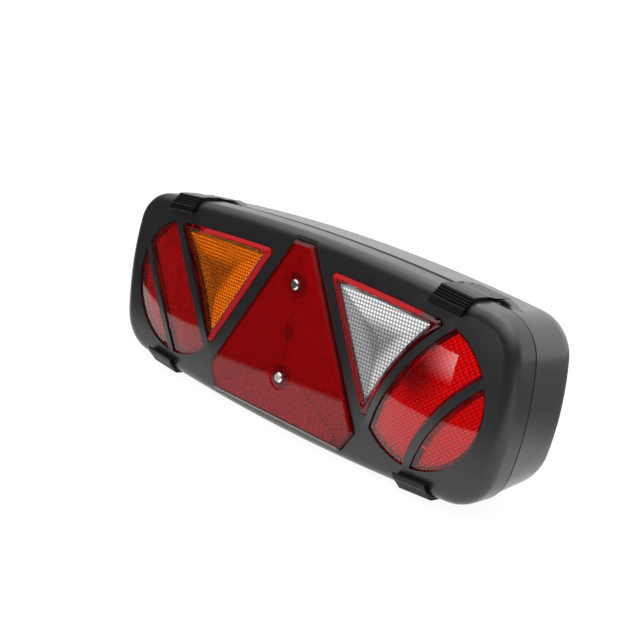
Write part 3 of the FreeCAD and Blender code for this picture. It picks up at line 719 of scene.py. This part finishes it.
def at_seam(points, edge, faces):
    start, end = [points[number].y for number in edge]
    if len(faces) != 2 or abs(start - end) > level_reach:
        return False
    if not seam_span[0] < start - seam_y < seam_span[1]:
        return False
    fronts = [face for face in faces if face.normal.y < front_normal]
    walls = [face for face in faces if abs(face.normal.y) < wall_normal]
    return len(fronts) == 1 and len(walls) == 1 and walls[0].center.y > start


def open_seam(piece, width):
    faces_of = {}
    for face in piece.data.polygons:
        for edge in face.edge_keys:
            faces_of.setdefault(edge, []).append(face)
    points = [vertex.co for vertex in piece.data.vertices]
    chosen = {edge for edge, faces in faces_of.items() if at_seam(points, edge, faces)}
    only(piece)
    bpy.ops.object.mode_set(mode="EDIT")
    bpy.ops.mesh.select_mode(type="EDGE")
    bpy.ops.mesh.select_all(action="DESELECT")
    bpy.ops.object.mode_set(mode="OBJECT")
    for edge in piece.data.edges:
        edge.select = edge.key in chosen
    bpy.ops.object.mode_set(mode="EDIT")
    bpy.ops.mesh.bevel(offset=width, segments=1, affect="EDGES")
    bpy.ops.object.mode_set(mode="OBJECT")
    print("seam edge broken along", len(chosen), "edges")


open_seam(smooth_housing, seam_bevel)

# %% [markdown]
# Each red moulding is one piece, but its raised frame is thick and lets less light through than its dome.
# Two separate pieces would show a joint that isn't there.
# So a copy of the moulding wears a second, denser material on every face outside the round opening.

# %% Red mouldings
dome_x = 120 * mm
dome_z = -1.5 * mm
dome_rim = 51.5 * mm
rim_reach = 0.05 * mm


def outside_dome(centre):
    return math.hypot(abs(centre.x) - dome_x, centre.z - dome_z) > dome_rim - rim_reach


for word in ("left", "right"):
    lens = smooth_copy(f"{word}_red_lens", f"smooth_{word}_red_lens")
    lens.data.materials.append(materials["red_frame"])
    pick_faces(lens, outside_dome)
    lens.active_material_index = 1
    bpy.ops.object.material_slot_assign()
    bpy.ops.object.mode_set(mode="OBJECT")
    print(lens.name, sum(face.material_index for face in lens.data.polygons), "faces of frame")

# %% [markdown]
# The optics are hundreds of equal cells, so one small cell is shaped and repeated.
# A pillow is a small cushion-shaped lens, as in the windows and domes.
# A corner cube has three faces like the inside corner of a box, as in the triangle.
# Each cell stores its crown, the height of every point as a share of the full height.

# %% Small cells
pillow_steps = 4
cube_rise = 0.3


def store_crown(cell, full_height):
    crown = cell.data.attributes.new("crown", "FLOAT", "POINT")
    for vertex in cell.data.vertices:
        crown.data[vertex.index].value = vertex.co.z / full_height


def pillow_cell(width, height, rise, dip=1.0):
    """One small pillow lens, highest in the middle; a dip below 1 joins the pillows into rows."""
    bpy.ops.mesh.primitive_grid_add(x_subdivisions=pillow_steps, y_subdivisions=pillow_steps, size=1)
    cell = bpy.context.object
    for vertex in cell.data.vertices:
        across, up = 2 * vertex.co.x, 2 * vertex.co.y
        vertex.co.z = rise * (1 - across ** 2) * (1 - dip * up ** 2)
        vertex.co.x *= width
        vertex.co.y *= height
    store_crown(cell, rise)
    return cell


def corner_cell(radius):
    """One corner cube: six faces of a hexagon, with every other corner raised and the middle raised twice."""
    bpy.ops.mesh.primitive_circle_add(vertices=6, radius=radius, fill_type="TRIFAN")
    cell = bpy.context.object
    step = cube_rise * radius
    for vertex in cell.data.vertices:
        if vertex.co.length < radius / 2:
            vertex.co.z = 2 * step
        else:
            turn = round(math.degrees(math.atan2(vertex.co.y, vertex.co.x)) / 60 - 0.5)
            vertex.co.z = step if turn % 2 else 0.0
    store_crown(cell, 2 * step)
    return cell


# %% [markdown]
# Two or three arrays lay the cells side by side, and their open border is drawn back to make a closed plate.
# A closed plate can be cut with booleans, which is how it gets the outline of its lens.
# The plate is then stood up with its cells to the front.

# %% Plates of small cells


def repeat(cell, steps):
    """Repeats a cell by one array for each count and step, merging what meets."""
    for count, step in steps:
        array = cell.modifiers.new("array", "ARRAY")
        array.count = count
        array.use_relative_offset = False
        array.use_constant_offset = True
        array.constant_offset_displace = step
        array.use_merge_vertices = True
        array.merge_threshold = merge_reach
    apply_modifiers(cell)


def close_plate(plate, thickness):
    """Draws the open edge of a field of cells down and closes it with a flat back."""
    only(plate)
    bpy.ops.object.mode_set(mode="EDIT")
    bpy.ops.mesh.select_mode(type="EDGE")
    bpy.ops.mesh.select_all(action="DESELECT")
    bpy.ops.mesh.select_non_manifold(extend=False, use_wire=False, use_boundary=True)
    bpy.ops.mesh.extrude_edges_move()
    bpy.ops.object.mode_set(mode="OBJECT")
    for vertex in plate.data.vertices:
        if vertex.select:
            vertex.co.z = -thickness
    bpy.ops.object.mode_set(mode="EDIT")
    bpy.ops.mesh.edge_face_add()
    bpy.ops.mesh.select_all(action="SELECT")
    bpy.ops.mesh.normals_make_consistent(inside=False)
    bpy.ops.object.mode_set(mode="OBJECT")


def stand_up(plate, x, z, front, turn):
    """Stands a plate up with its cells to the front, spins it in its plane and sets its foremost point."""
    corners = [Vector(corner) for corner in plate.bound_box]
    centre = sum(corners, Vector()) / len(corners)
    foremost = max(corner.z for corner in corners)
    plate.data.transform(Matrix.Translation((-centre.x, -centre.y, -foremost)))
    plate.data.transform(Matrix.Rotation(math.radians(turn), 4, "Z"))
    plate.data.transform(Matrix.Rotation(math.pi / 2, 4, "X"))
    plate.data.transform(Matrix.Translation((x, face_y + front, z)))
    plate.location = (0, 0, 0)


# %% [markdown]
# The outlines of the lenses are made of arcs and straight lines.
# So a few plain cylinders and one large block, used as cutters, are enough to trim every plate.

# %% Trimming
cutter_depth = 60 * mm
block_size = 0.5
plate_angle = math.radians(40)


def take(plate, cutter, operation):
    """Runs one boolean of a plate with a cutter and throws the cutter away."""
    boolean = plate.modifiers.new("trim", "BOOLEAN")
    boolean.operation = operation
    boolean.solver = "EXACT"
    boolean.object = cutter
    apply_modifiers(plate)
    bpy.data.objects.remove(cutter)


def trim(plate, x, z, radius, keep_inside, sides=256, turn=0):
    """Cuts a plate with a cylinder along Y and keeps what is inside or outside it."""
    bpy.ops.mesh.primitive_cylinder_add(vertices=sides, radius=radius, depth=cutter_depth,
                                        location=(x, face_y, z),
                                        rotation=(math.pi / 2, math.radians(turn), 0))
    take(plate, bpy.context.object, "INTERSECT" if keep_inside else "DIFFERENCE")


def cut_off(plate, point, normal):
    """Cuts a plate along a plane and takes away the side that the normal points to."""
    bpy.ops.mesh.primitive_cube_add(size=block_size, location=point + normal * block_size / 2)
    cutter = bpy.context.object
    cutter.rotation_euler = normal.to_track_quat("X", "Y").to_euler()
    take(plate, cutter, "DIFFERENCE")


def finish_piece(piece, name, material):
    piece.name = name
    wear(piece, materials[material])
    only(piece)
    bpy.ops.object.shade_smooth_by_angle(angle=plate_angle)
    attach(piece, "root")


# %% [markdown]
# The lamp's curved bars are arcs about one point below and outside each dome, and the top edge of the windows
# follows the slow bow of the lamp's top.
# The plates lie inside the lens walls, so each outline is set back by the wall, its clearance and a thin gap.

# %% Where the lenses are
bar_x = 290.4 * mm
bar_z = -106.3 * mm
inner_bar = 218.9 * mm
outer_bar = 177.2 * mm
bar_half = 2.75 * mm
lens_wall = 2.5 * mm
clearance = 0.4 * mm
plate_gap = 0.08 * mm
frame_width = 3.0 * mm
insert_gap = 0.15 * mm
lamp_top = 72 * mm
top_bow = 1500 * mm
top_margin = 18.2 * mm
side_start = 50.86 * mm

set_back = clearance + lens_wall + plate_gap
window_inset = set_back + frame_width + insert_gap
top_bow_z = lamp_top - top_bow
window_top_radius = top_bow - top_margin - window_inset
window_side = side_start + window_inset
window_bar_radius = inner_bar + bar_half + window_inset
print("plates lie", round(set_back / mm, 2), "mm inside the lenses, windows", round(window_inset / mm, 2))

# %% [markdown]
# Behind the amber and the clear skin lies a square grid of pillows.
# The plate has three sides: a straight one along the triangle, the bowed top and the arc of the inner bar.

# %% Window plates
window_pitch = 2.5 * mm
window_rise = 0.55 * mm
window_columns = 46
window_rows = 38
window_x = 81 * mm
window_z = 11 * mm
window_front = -0.7 * mm + plate_gap
plate_thickness = 0.5 * mm
slope_angle = math.radians(30)
bow_sides = 2048


def window_plate(side, name, material):
    plate = pillow_cell(window_pitch, window_pitch, window_rise)
    repeat(plate, [(window_columns, (window_pitch, 0, 0)), (window_rows, (0, window_pitch, 0))])
    close_plate(plate, plate_thickness)
    stand_up(plate, side * window_x, window_z, window_front, 0)
    slope = Vector((side * math.cos(slope_angle), 0, math.sin(slope_angle)))
    cut_off(plate, slope * window_side, -slope)
    trim(plate, 0, top_bow_z, window_top_radius, True, bow_sides)
    trim(plate, side * bar_x, bar_z, window_bar_radius, False)
    finish_piece(plate, name, material)
    return plate


amber_plate = window_plate(-1, "amber_optic_plate", "amber_optic")
clear_plate = window_plate(1, "clear_optic_plate", "clear_optic")
print("window plates", len(amber_plate.data.polygons), len(clear_plate.data.polygons))

# %% [markdown]
# Each dome has two fields, on either side of its outer bar, with rows of long pillows that run aslant.
# A flat plate is trimmed to the field first, because arcs are simple to cut while it is flat.
# Every point is then moved back onto a ball that follows the inside of the dome.

# %% Dome plates
row_pitch = 2.3 * mm
row_step = 3.4 * mm
row_rise = 0.5 * mm
row_dip = 0.85
row_count = 52
row_cells = 36
row_turn = -48
dome_rise = 7.0 * mm
dome_lip = 1.3 * mm
dome_ball = (dome_rim ** 2 + dome_rise ** 2) / (2 * dome_rise)
plate_ball = dome_ball - (dome_lip + lens_wall + plate_gap)


def dome_plate(side, field, name):
    plate = pillow_cell(row_pitch, row_step, row_rise, row_dip)
    repeat(plate, [(row_count, (row_pitch, 0, 0)), (row_cells, (0, row_step, 0))])
    close_plate(plate, plate_thickness)
    stand_up(plate, side * dome_x, dome_z, 0, side * row_turn)
    trim(plate, side * dome_x, dome_z, dome_rim - set_back, True)
    edge = bar_half + set_back
    if field == "inner":
        trim(plate, side * bar_x, bar_z, inner_bar - edge, True)
        trim(plate, side * bar_x, bar_z, outer_bar + edge, False)
    else:
        trim(plate, side * bar_x, bar_z, outer_bar - edge, True)
    for vertex in plate.data.vertices:
        away = math.hypot(vertex.co.x - side * dome_x, vertex.co.z - dome_z)
        vertex.co.y += dome_ball - dome_rise - math.sqrt(plate_ball ** 2 - away ** 2)
    finish_piece(plate, name, "red_optic")
    return plate


for side, word in ((-1, "left"), (1, "right")):
    for field in ("inner", "outer"):
        plate = dome_plate(side, field, f"{word}_{field}_dome_plate")
        print(plate.name, len(plate.data.polygons), "faces")

# %% [markdown]
# Behind the triangle lies a sheet of corner cubes in three sectors that meet below its middle.
# Each sector's cubes are turned another way, so the sectors differ in tone, with a thin groove between them.
# A hexagon doesn't repeat on a square grid, so a pair of cells is made first and the pair is repeated.
# A cylinder of three sides cuts the triangle, and a second one, turned round, cuts its corners off.

# %% Reflex prisms
triangle_side = 170 * mm
triangle_foot = -64.3 * mm
corner_cut = 17 * mm
triangle_in = triangle_side / (2 * math.sqrt(3))
triangle_middle = triangle_foot + triangle_in
side_reach = triangle_in - set_back
cut_reach = 2 * triangle_in - corner_cut - set_back
prism_radius = 1.3 * mm
prism_width = math.sqrt(3) * prism_radius
prism_columns = 68
prism_rows = 38
prism_thickness = 0.3 * mm
prism_lift = 8 * mm
prism_front = -1.0 * mm + plate_gap
meeting = Vector((0, 0, -22 * mm))
sector_half = 60
groove = 0.35 * mm
screw_room = 9.2 * mm
boss_room = 4.7 * mm
holes = ((35.3 * mm, screw_room), (-33 * mm, screw_room), (0, boss_room))
hole_sides = 64


def prism_sector(middle_angle, turn, name):
    sheet = corner_cell(prism_radius)
    pair = (2, (prism_width / 2, 1.5 * prism_radius, 0))
    columns = (prism_columns, (prism_width, 0, 0))
    rows = (prism_rows, (0, 3 * prism_radius, 0))
    repeat(sheet, [pair, columns, rows])
    close_plate(sheet, prism_thickness)
    stand_up(sheet, 0, triangle_middle + prism_lift, prism_front, turn)
    trim(sheet, 0, triangle_middle, 2 * side_reach, True, 3)
    trim(sheet, 0, triangle_middle, 2 * cut_reach, True, 3, 180)
    for edge in (-1, 1):
        angle = math.radians(middle_angle + edge * sector_half)
        along = Vector((math.cos(angle), 0, math.sin(angle)))
        outside = Vector((-edge * along.z, 0, edge * along.x))
        cut_off(sheet, meeting - outside * groove, outside)
    for z, radius in holes:
        trim(sheet, 0, z, radius, False, hole_sides)
    finish_piece(sheet, name, "prism_red")
    return sheet


sectors = ((150, -8, "left_prisms"), (30, 8, "right_prisms"), (270, 60, "lower_prisms"))
for middle_angle, turn, name in sectors:
    sheet = prism_sector(middle_angle, turn, name)
    print(name, len(sheet.data.polygons), "faces")
